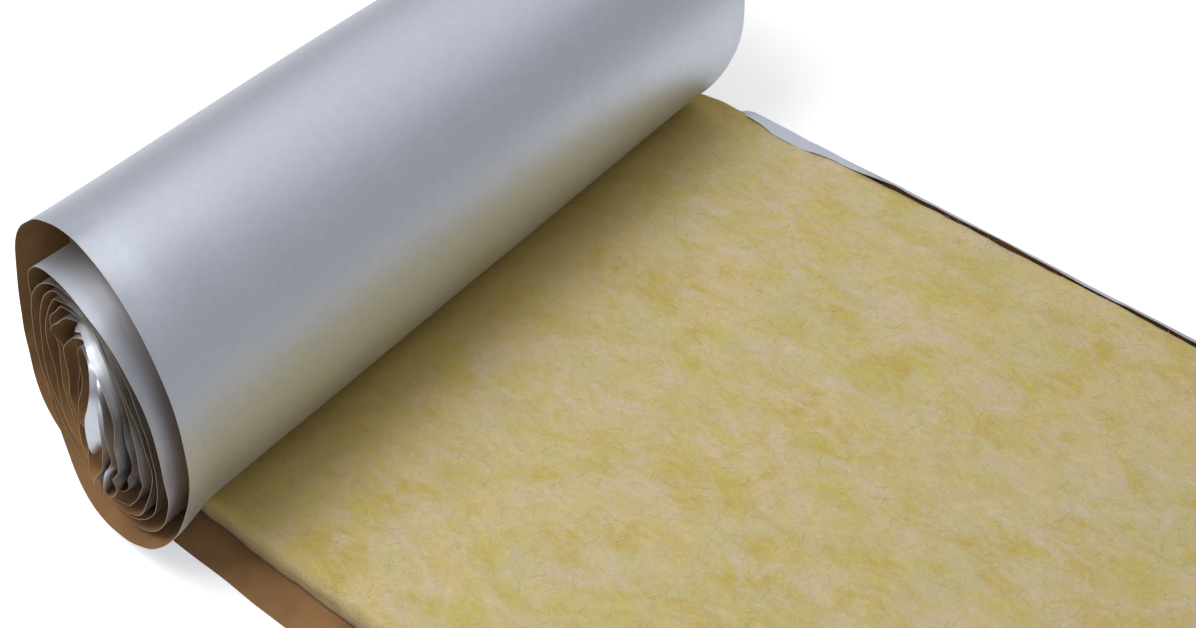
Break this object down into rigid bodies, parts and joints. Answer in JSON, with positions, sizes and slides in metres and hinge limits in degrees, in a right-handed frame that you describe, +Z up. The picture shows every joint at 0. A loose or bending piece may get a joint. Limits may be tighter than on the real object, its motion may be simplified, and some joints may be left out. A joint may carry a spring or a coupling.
{
  "type": "insulation roll",
  "caption": "Foil faced glass wool insulation blanket, wound into a loose roll on its side with one length unrolled flat.",
  "frame": {"origin": "on the floor under the axis of the roll, half way along it", "axes": "+X along the unrolled tail away from the roll, +Y along the roll to its far end, +Z up"},
  "size_m": [1.788, 1.315, 0.454],
  "materials": {
    "foil_facing": "satin foil outside, brown kraft paper inside",
    "glass_wool": "matte fibrous glass wool"
  },
  "bodies": {
    "root": {"foil_kraft_facing": "foil_facing", "glass_wool_blanket": "glass_wool"}
  },
  "joints": []
}
